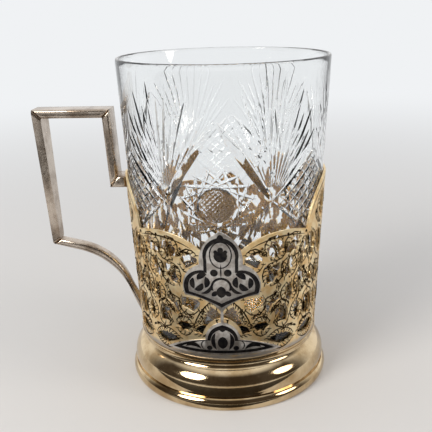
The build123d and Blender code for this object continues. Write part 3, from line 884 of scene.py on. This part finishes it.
# %% [markdown]
# The finished sheet is rolled on to the taper. Its two ends meet behind the back medallion, so the
# end faces go and the seam is merged. The inside, which nobody rubs, keeps a richer gilding, and the
# cuts of the glass throw that colour forward. Thousands of strokes leave many slivers, so the mesh
# is thinned to three fifths of its triangles, where that changes its shape least.

# %% Roll the sleeve
THIN_SHARE = 0.62
SEAM_MERGE = 0.001
SLEEVE_FINISH = [gilt_sheet, engraving_oxide_and_shade, gilt_inside]


def thinned(bm, share):
    """The mesh with edges collapsed down to a share of its triangles."""
    body = mesh_object("thinned", bm, SLEEVE_FINISH)
    scene.collection.objects.link(body)
    body.modifiers.new("thin", "DECIMATE").ratio = share
    return applied(body)


seam_x = half_turn - SEAM_MERGE
seam = [face for face in sheet.faces if all(abs(vert.co.x) > seam_x for vert in face.verts)]
bmesh.ops.delete(sheet, geom=seam, context="FACES")
for face in sheet.faces:
    if face.material_index == 0 and all(vert.co.z < 0.01 for vert in face.verts):
        face.material_index = 2
for vert in sheet.verts:
    vert.co = rolled(vert.co.x, vert.co.y, SLEEVE_INSIDE + vert.co.z)
bmesh.ops.remove_doubles(sheet, verts=sheet.verts[:], dist=SEAM_MERGE)
sheet = thinned(sheet, THIN_SHARE)
odd_edges = sum(not edge.is_manifold for edge in sheet.edges)
print("triangles", sum(len(face.verts) - 2 for face in sheet.faces), "odd edges", odd_edges)
finish_piece("openwork", sheet, SLEEVE_FINISH, "holder", ["openwork_sleeve"])

# %% [markdown]
# Each plaque is a silver plate, filed to its outline with a softened edge, let into the sleeve and
# standing a fifth of a millimetre proud. A plate is drawn flat, as seen from the front, divided into
# strips and pressed on to the curve.

# %% Plate tools
PLATE_BOTTOM = SLEEVE_INSIDE + 0.08
PLATE_EDGE = 0.16


def curve_over(bm, step=1.2):
    """Divides a flat shape into strips that can bend round the wall, and bends it."""
    reach = max(abs(vert.co.x) for vert in bm.verts)
    count = int(reach / step)
    for i in range(-count, count + 1):
        geom = bm.verts[:] + bm.edges[:] + bm.faces[:]
        bmesh.ops.bisect_plane(bm, geom=geom, dist=0.0005, plane_co=(i * step, 0, 0), plane_no=(1, 0, 0))
    for vert in bm.verts:
        vert.co = pressed(*vert.co)


def plate(outline, low, high, edge):
    """Flat plate with its upper edge softened, and its hidden face ready for a second material."""
    bm = slab(outline, low, high)
    for face in bm.faces:
        face.material_index = int(all(v.co.z < low + 0.001 for v in face.verts))
    rim = [e for e in bm.edges if all(v.co.z > high - 0.001 for v in e.verts)]
    bmesh.ops.bevel(bm, geom=rim, offset=edge, segments=2, profile=0.5, affect="EDGES", material=-1)
    return bm


print("plate", round(PLAQUE_OUTSIDE - PLATE_BOTTOM, 2), "mm thick")

# %% [markdown]
# The plates at the back are the same, turned half round. Inside, the holder is gilt all over, so
# the hidden face of each plate is gilt too, and shows through the flat boss of the glass. A thin
# stem runs up from the cartouche to the medallion.

# %% Plates
def add_bm(target, source):
    """Adds one bmesh to another and frees it."""
    mesh = bpy.data.meshes.new("added")
    source.to_mesh(mesh)
    source.free()
    target.from_mesh(mesh)
    bpy.data.meshes.remove(mesh)


def both_faces(name, make, materials, node):
    """Makes a front piece, and the same turned half round for the back."""
    for face, turn in (("front", 0.0), ("back", pi)):
        bm = make()
        bmesh.ops.rotate(bm, cent=(0, 0, 0), matrix=Matrix.Rotation(turn, 3, "Z"), verts=bm.verts)
        finish_piece(f"{face}_{name}", bm, materials, "holder", [f"{face}_{node}"])


def medallion_plate():
    bm = plate(medallion_outline(), PLATE_BOTTOM, PLAQUE_OUTSIDE, PLATE_EDGE)
    curve_over(bm)
    return bm


STEM = [(0.45, 28.6), (0.45, 35.2), (-0.45, 35.2), (-0.45, 28.6)]


def cartouche_plate():
    bm = plate(cartouche_outline(), PLATE_BOTTOM, PLAQUE_OUTSIDE, PLATE_EDGE)
    curve_over(bm)
    stem = plate(STEM, PLATE_BOTTOM, PLAQUE_OUTSIDE - 0.05, 0.1)
    curve_over(stem)
    add_bm(bm, stem)
    return bm


PLATE_FINISH = [plaque_silver, gilt_inside]
both_faces("medallion_plate", medallion_plate, PLATE_FINISH, "medallion")
both_faces("cartouche_plate", cartouche_plate, PLATE_FINISH, "cartouche")

# %% [markdown]
# Niello is a black sulphide of silver, copper and lead, melted into the engraved lines and ground
# flush. The inlay is drawn as flat shapes and lines two hundredths of a millimetre proud, so that
# it hides the plate below without a seam, and is bent round the wall.

# %% Flat inlay
NIELLO_LOW = PLAQUE_OUTSIDE - 0.1
NIELLO_TOP = PLAQUE_OUTSIDE + 0.02


def band(outer, inner, low, high):
    """Line of inlay between two outlines with as many points."""
    bm = bmesh.new()
    rings = []
    for outline in (outer, inner):
        verts = [bm.verts.new((x, y, low)) for x, y in outline]
        rings += [bm.edges.new(pair) for pair in zip(verts, verts[1:] + verts[:1])]
    faces = bmesh.ops.bridge_loops(bm, edges=rings)["faces"]
    thicken(bm, faces, (0, 0, high - low))
    return bm


def inlay(shapes, lines):
    """Flat shapes and lines of inlay, bent round the wall."""
    bm = bmesh.new()
    for shape in shapes:
        add_bm(bm, slab(shape, NIELLO_LOW, NIELLO_TOP))
    for outer, inner in lines:
        add_bm(bm, band(outer, inner, NIELLO_LOW, NIELLO_TOP))
    curve_over(bm)
    return bm


def on_both_sides(shapes):
    return shapes + [mirrored(shape) for shape in shapes]


print("inlay stands", round(NIELLO_TOP - PLAQUE_OUTSIDE, 3), "mm proud")

# %% [markdown]
# On the medallion a heavy line follows the edge. A bud in an egg-shaped ring fills the crown, two
# berries lie at the fork, and leaves curl in the side lobes about a small tulip under a dome. On
# the cartouche a bud stands between leaves, and more leaves run out into the wings.

# %% Niello drawing
def medallion_line(inset):
    """Line round the medallion's field: a narrow crown and wide side lobes."""
    top, shoulder = (0, 59.2 - 1.3 * inset), (4.5 - inset, 56.6 - 0.8 * inset)
    waist, fork = (5.4 - inset, 51.6), (5.4 - inset, 48.2 - 0.8 * inset)
    lobe, corner = (10.2 - inset, 46.4 - 0.8 * inset), (11.4 - 1.2 * inset, 39.6 + 0.8 * inset)
    hollow, foot = (5.4, 38.2 + inset), (0, 35.4 + 1.4 * inset)
    right = arc(top, shoulder, waist, 10)[:-1] + [waist] + arc(fork, lobe, corner, 12)[:-1]
    right += arc(corner, hollow, foot, 12)
    return right + mirrored(right[1:-1])


def medallion_niello():
    bud = arc((-1.9, 53.8), (0, 50.9), (1.9, 53.8), 10)
    bud += arc((1.9, 53.8), (1.6, 55.0), (0.8, 54.5), 4)[1:]
    bud += arc((0.8, 54.5), (0.0, 55.9), (-0.8, 54.5), 6)[1:]
    bud += arc((-0.8, 54.5), (-1.6, 55.0), (-1.9, 53.8), 4)[1:-1]
    finial = leaf([(0, 60.0), (-1.0, 58.6), (0, 57.6), (1.0, 58.6)], 6)
    stalk = leaf([(0, 50.4), (-0.25, 48.0), (0, 45.4), (0.25, 48.0)], 4)
    tulip = leaf([(0, 42.9), (-1.5, 40.6), (0, 38.9), (1.5, 40.6)], 6)
    paired = [
        oval(2.1, 47.4, 1.2, 1.2, 18),
        leaf([(8.6, 45.4), (9.9, 43.6), (8.4, 41.6), (8.2, 43.6)]),
        leaf([(4.4, 47.0), (6.6, 47.2), (7.4, 44.8), (5.8, 45.4)]),
        leaf([(4.9, 46.0), (3.4, 44.0), (5.0, 42.2), (5.2, 44.2)]),
        leaf([(5.8, 43.8), (6.2, 41.2), (8.4, 41.4), (7.2, 42.8)]),
        leaf([(1.4, 41.2), (2.5, 41.0), (3.0, 39.6), (1.7, 39.6)]),
        leaf([(3.0, 43.6), (3.6, 40.8), (6.4, 40.3), (4.4, 41.6)]),
    ]
    dome = arc((-3.0, 41.4), (0, 45.9), (3.0, 41.4), 16) + arc((2.3, 41.4), (0, 45.1), (-2.3, 41.4), 16)
    egg = (oval(0, 53.3, 3.5, 4.5), oval(0, 53.3, 3.1, 4.1))
    border = (medallion_line(0.1), medallion_line(1.1))
    return inlay([bud, finial, stalk, tulip, dome] + on_both_sides(paired), [border, egg])


def cartouche_niello():
    bud = leaf([(0, 25.2), (-1.6, 22.8), (0, 20.8), (1.6, 22.8)])
    drop = leaf([(0, 29.4), (-1.1, 28.2), (0, 26.9), (1.1, 28.2)], 6)
    paired = [
        leaf([(2.2, 26.6), (3.7, 23.8), (1.9, 20.4), (2.4, 23.6)]),
        oval(4.2, 21.0, 0.9, 0.8, 14),
        leaf([(4.8, 23.6), (6.6, 22.2), (5.4, 20.2), (7.0, 21.8)]),
        leaf([(7.0, 20.3), (9.0, 22.4), (12.0, 20.4), (9.4, 21.0)]),
    ]
    border = (cartouche_outline(0.75), cartouche_outline(1.75))
    return inlay([bud, drop] + on_both_sides(paired), [border])


both_faces("medallion_inlay", medallion_niello, [niello], "medallion_niello")
both_faces("cartouche_inlay", cartouche_niello, [niello], "cartouche_niello")

# %% [markdown]
# The foot was spun on a lathe over a wooden form, from the lip that carries the sleeve through a
# hollow and a broad ovolo to a groove, and a cast ring is soldered under it. A section spun with
# many steps gives the long unbroken highlights of polished metal.

# %% Foot and rim ring
FOOT_STEPS = 160
FLANGE, FOOT_WALL = 5.5, 0.9
OVOLO_TOP, OVOLO_FOOT, RIM_TOP, RIM_CURL = 12.5, 5.5, 4.0, 0.7
seat_radius = sleeve_radius(FOOT_TOP)
ovolo_radius = sleeve_radius(PEAK)
lip_radius = seat_radius + 0.25
hollow_radius = seat_radius - 1.25
groove_radius = ovolo_radius - 0.5
flange_radius = seat_radius - FLANGE
inside_radius = groove_radius - FOOT_WALL
neck_radius = hollow_radius - FOOT_WALL
foot_section = [(flange_radius, FOOT_TOP), (lip_radius - 0.1, FOOT_TOP), (lip_radius, FOOT_TOP - 0.1)]
foot_section += arc((lip_radius, FOOT_TOP - 0.6), (hollow_radius, 14.45), (seat_radius, OVOLO_TOP), 16)
ovolo_knee = (seat_radius + 0.82 * (ovolo_radius - seat_radius), 9.56)
foot_section += arc((seat_radius, OVOLO_TOP), ovolo_knee, (ovolo_radius, OVOLO_FOOT), 20)[1:]
foot_section += [(groove_radius, 5.3), (groove_radius, RIM_TOP), (inside_radius, RIM_TOP)]
foot_section += [(ovolo_radius - 1.9, 9.2), (neck_radius, 11.6), (neck_radius, FOOT_TOP - FOOT_WALL)]
foot_section += [(flange_radius, FOOT_TOP - FOOT_WALL), (flange_radius, FOOT_TOP)]
finish_piece("spun_foot", spun(foot_section, FOOT_STEPS), [gilt_foot], "holder", ["foot"])

rim_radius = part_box("foot_rim")[1].x / MM
rim_section = arc((rim_radius - RIM_CURL, 0.0), (rim_radius, 2.0), (ovolo_radius, RIM_TOP), 18)
rim_section += [(inside_radius, RIM_TOP), (inside_radius, 0.0), (rim_radius - RIM_CURL, 0.0)]
finish_piece("rim_ring", spun(rim_section, FOOT_STEPS), [gilt_foot], "holder", ["foot_rim"])

# %% [markdown]
# The handle is flat silver bar, mitred at the corners and soldered. Each bar is its side view,
# extruded across. The depth falls away from the thumb's place down to the tail, and the long edges
# are broken with a file.

# %% Handle bars
HANDLE_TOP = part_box("handle_top_bar")[1].z / MM
REACH, BAR, RISER_GAP = 29.1, 2.9, 2.8
STRUT_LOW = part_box("handle_strut")[0].z / MM
STRUT_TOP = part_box("handle_strut")[1].z / MM
ARM_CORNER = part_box("handle_outer_bar")[0].z / MM
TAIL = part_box("handle_lower_arm")[0].z / MM
SHARP_EDGE = radians(40)


def off_wall(distance, z):
    return (-sleeve_radius(z) - distance, z)


def half_depth(z):
    """Half of the strap's depth at a height: widest at the top, narrow at the tail."""
    return height_on([(TAIL, 1.7), (ARM_CORNER, 2.1), (HANDLE_TOP, 4.4)], z)


def strap(name, outline, node, tapered, edge=1.0):
    """A bar from its side view, as deep as the handle is there, with broken edges."""
    bm = bmesh.new()
    verts = [bm.verts.new((x, -1.0, z)) for x, z in outline]
    thicken(bm, [bm.faces.new(verts)], (0, 2.0, 0))
    for vert in bm.verts:
        vert.co.y *= half_depth(vert.co.z) if tapered else half_depth(HANDLE_TOP)
    bm.normal_update()
    sides = [e for e in bm.edges if abs(e.verts[0].co.y - e.verts[1].co.y) < 1.5]
    filed = [e for e in sides if e.calc_length() > 0 and e.calc_face_angle(0) > SHARP_EDGE]
    bmesh.ops.bevel(bm, geom=filed, offset=edge, segments=4, profile=0.5, affect="EDGES", material=-1)
    finish_piece(name, bm, [handle_silver], "holder", [node])


top_right = off_wall(RISER_GAP, HANDLE_TOP)
top_right_inside = off_wall(RISER_GAP + BAR, HANDLE_TOP - BAR)
top_left = off_wall(REACH, HANDLE_TOP)
top_left_inside = off_wall(REACH - BAR, HANDLE_TOP - BAR)
low_left = off_wall(REACH, ARM_CORNER)
low_left_inside = off_wall(REACH - BAR, ARM_CORNER + 0.7 * BAR)
riser_foot = off_wall(RISER_GAP + BAR, STRUT_LOW)
riser_foot_inside = off_wall(RISER_GAP, STRUT_TOP)
strut_ends = [off_wall(0, STRUT_LOW), off_wall(0, STRUT_TOP)]
strap("strut", [riser_foot, *strut_ends, riser_foot_inside], "handle_strut", False)
strap("riser", [riser_foot, riser_foot_inside, top_right, top_right_inside], "handle_riser", False)
strap("top_bar", [top_right, top_right_inside, top_left_inside, top_left], "handle_top_bar", False)
strap("outer_bar", [top_left, top_left_inside, low_left_inside, low_left], "handle_outer_bar", True)

# %% [markdown]
# The lower arm leaves the outer bar level, then sweeps down in two arcs and dies into the wall just
# above the foot. Its points are shares of the handle's reach and of the height it falls.

# %% Lower arm
def arm_point(distance, share):
    """Point of the lower arm: a share of the reach, and a share of the way from tail to corner."""
    return off_wall(distance * REACH, TAIL + share * (ARM_CORNER - TAIL))


knee, knee_inside = arm_point(0.66, 0.91), arm_point(0.66, 0.91 + BAR / (ARM_CORNER - TAIL))
arm_outline = [low_left] + arc(knee, arm_point(0.32, 0.70), arm_point(0.125, 0.36), 12)
arm_outline += arc(arm_point(0.125, 0.36), arm_point(0.065, 0.17), arm_point(0.0, 0.0), 6)[1:]
arm_outline += arc(arm_point(0.0, 0.22), arm_point(0.025, 0.28), arm_point(0.10, 0.47), 6)
arm_outline += arc(arm_point(0.10, 0.47), arm_point(0.30, 0.82), knee_inside, 12)[1:] + [low_left_inside]
strap("lower_arm", arm_outline, "handle_lower_arm", True)

# %% [markdown]
# The floor of the holder is a flat disc that the glass hides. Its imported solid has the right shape
# already and needs only the finish, so it stays.

# %% Floor plate
floor_mesh = frame["nodes"]["floor_plate"].data
floor_mesh.materials.clear()
floor_mesh.materials.append(gilt_inside)
print("floor plate finished")

# %% [markdown]
# The photograph was taken on a white sweep in soft window light from the left. A wide pale floor
# stands for the sweep. It fades to the backdrop's white with the distance from the object, for
# camera, mirror and glass rays alike, and keeps the shadow near by. Rays that come through the
# glass see it nearly white everywhere, which keeps the crystal clear.

# %% Floor
FLOOR_HALF = 30.0
FADE_START, FADE_END = -0.05, 0.75
WHITE_THROUGH_GLASS = 0.85
sweep = bpy.data.materials.new("pale_sweep")
tree = empty_tree(sweep)
paper = add_node(tree, "BsdfDiffuse", {"Color": linear("#D9D7D6")})
glow = add_node(tree, "Emission", {"Color": linear("#F0F2F4"), "Strength": 1.0})
spot = add_node(tree, "NewGeometry")["Position"]
away = add_node(tree, "VectorMath", {0: spot}, operation="LENGTH")["Value"]
fade = add_node(tree, "MapRange", {0: away, 1: FADE_START, 2: FADE_END}, **SMOOTH)[0]
ray = add_node(tree, "LightPath")
larger, product = {"operation": "MAXIMUM"}, {"operation": "MULTIPLY"}
through = ray["Is Transmission Ray"]
shown = add_node(tree, "Math", {0: ray["Is Camera Ray"], 1: ray["Is Glossy Ray"]}, **larger)[0]
shown = add_node(tree, "Math", {0: shown, 1: through}, **larger)[0]
amount = add_node(tree, "Math", {0: fade, 1: shown}, **product)[0]
whitened = add_node(tree, "Math", {0: through, 1: WHITE_THROUGH_GLASS}, **product)[0]
amount = add_node(tree, "Math", {0: amount, 1: whitened}, **larger)[0]
surface = add_node(tree, "MixShader", {0: amount, 1: paper[0], 2: glow[0]})
add_node(tree, "OutputMaterial", {"Surface": surface[0]})

ground = bmesh.new()
bmesh.ops.create_grid(ground, x_segments=1, y_segments=1, size=FLOOR_HALF)
pale_floor = mesh_object("pale_floor", ground, [sweep])
scene.collection.objects.link(pale_floor)
print("floor fades out at", FADE_END, "m")

# %% [markdown]
# Two dark cards lie in front of the foot. Photographers put them there for polished metal: their
# reflection gives the foot the black bands that make gold look like gold. They are set to show in
# reflections alone, so that no other view has a card lying on its floor.

# %% Dark cards
CARD_HALF = 0.55
CARD_STRIPS = ((-0.075, -0.0355), (-0.60, -0.19))
felt, tree, shader, place = new_material("dark_felt")
shader.inputs["Base Color"].default_value = linear("#2B2723")
shader.inputs["Roughness"].default_value = 0.9
card = bmesh.new()
for far, near in CARD_STRIPS:
    corners = [(-CARD_HALF, far), (CARD_HALF, far), (CARD_HALF, near), (-CARD_HALF, near)]
    card.faces.new([card.verts.new((x, y, 0.5 * MM)) for x, y in corners])
dark_cards = mesh_object("dark_cards", card, [felt])
for unseen in ("visible_camera", "visible_diffuse", "visible_transmission", "visible_shadow"):
    setattr(dark_cards, unseen, False)
scene.collection.objects.link(dark_cards)
print("dark cards", len(CARD_STRIPS))

# %% [markdown]
# Polished metal shows the room it stands in. The world is white behind the object and overhead,
# and darker low down on the side where the photographer stands, so that the foot and the handle
# have dark bands to set off their highlights. Diffuse light is an even, plain level, and what is
# seen through the glass is white.

# %% World
OVERHEAD = {1: 0.68, 2: 0.96}
BEHIND = {1: -0.1, 2: 0.55}
DIFFUSE_LEVEL = 0.66
scene.world = bpy.data.worlds.new("studio")
tree = empty_tree(scene.world)
direction = add_node(tree, "TexCoord")["Generated"]
axis = add_node(tree, "SeparateXYZ", {0: direction})
overhead = add_node(tree, "MapRange", {0: axis["Z"], **OVERHEAD}, **SMOOTH)[0]
behind = add_node(tree, "MapRange", {0: axis["Y"], **BEHIND}, **SMOOTH)[0]
lit = add_node(tree, "Math", {0: overhead, 1: behind}, **larger)[0]
dark, pale = linear("#4A433C"), linear("#FAFAFA")
room = add_node(tree, "Mix", {0: lit, 6: dark, 7: pale}, **MIX_COLOUR)[2]
ray = add_node(tree, "LightPath")
mirror_view = add_node(tree, "Background", {"Color": room, "Strength": 1.0})[0]
backdrop = add_node(tree, "Background", {"Color": linear("#F0F2F4"), "Strength": 1.0})[0]
white_view = add_node(tree, "Background", {"Color": linear("#FFFFFF"), "Strength": 1.0})[0]
soft = add_node(tree, "Background", {"Color": linear("#F4F5F6"), "Strength": DIFFUSE_LEVEL})[0]
seen = add_node(tree, "MixShader", {0: ray["Is Glossy Ray"], 1: soft, 2: mirror_view})[0]
seen = add_node(tree, "MixShader", {0: ray["Is Transmission Ray"], 1: seen, 2: white_view})[0]
sky = add_node(tree, "MixShader", {0: ray["Is Camera Ray"], 1: seen, 2: backdrop})[0]
add_node(tree, "OutputWorld", {"Surface": sky})
print("world nodes", len(tree.nodes))

# %% [markdown]
# Two area lamps do the rest: a broad one high on the left gives the shadow to the right and the
# long highlights, and a weaker one on the right lifts the shaded side.

# %% Lamps
LAMP_TARGET = Vector((0, 0, 55)) * MM


def soft_lamp(name, place_mm, size_mm, watts, colour):
    light = bpy.data.lights.new(name, "AREA")
    light.shape = "DISK"
    light.size = size_mm * MM
    light.energy = watts
    light.color = linear(colour)[:3]
    lamp = bpy.data.objects.new(name, light)
    lamp.location = Vector(place_mm) * MM
    aim = LAMP_TARGET - lamp.location
    lamp.rotation_euler = aim.to_track_quat("-Z", "Y").to_euler()
    scene.collection.objects.link(lamp)
    print(name, watts, "W")


soft_lamp("window_left", (-520, -560, 480), 420, 5.0, "#FFFBF4")
soft_lamp("fill_right", (600, -200, 330), 300, 1.2, "#FFF6EA")

# %% [markdown]
# The camera stands where the photographer did: a little above the rim, looking down, turned a few
# degrees past the front. Its place and angles were fitted to the glass's ellipses and the foot.

# %% Camera
CAMERA_DISTANCE, CAMERA_HEIGHT = 226.1, 127.4
AZIMUTH, PITCH, YAW, ROLL = (radians(a) for a in (3.57, 17.67, 0.9, -1.47))
FOCAL_PIXELS, IMAGE_PIXELS, SENSOR = 684.9, 432, 36.0
turned = Matrix.Rotation(YAW, 4, "Z") @ Matrix.Rotation(pi / 2 - PITCH, 4, "X")
turned @= Matrix.Rotation(ROLL, 4, "Z")
stand = Matrix.Translation(Vector((0, -CAMERA_DISTANCE, CAMERA_HEIGHT)) * MM)
lens = bpy.data.cameras.new("camera")
lens.sensor_width = SENSOR
lens.lens = FOCAL_PIXELS * SENSOR / IMAGE_PIXELS
lens.clip_start = 0.01
camera = bpy.data.objects.new("camera", lens)
camera.matrix_world = Matrix.Rotation(AZIMUTH, 4, "Z") @ stand @ turned
scene.collection.objects.link(camera)
scene.camera = camera
scene.view_settings.view_transform = "Standard"
print("lens", round(lens.lens, 2), "mm")
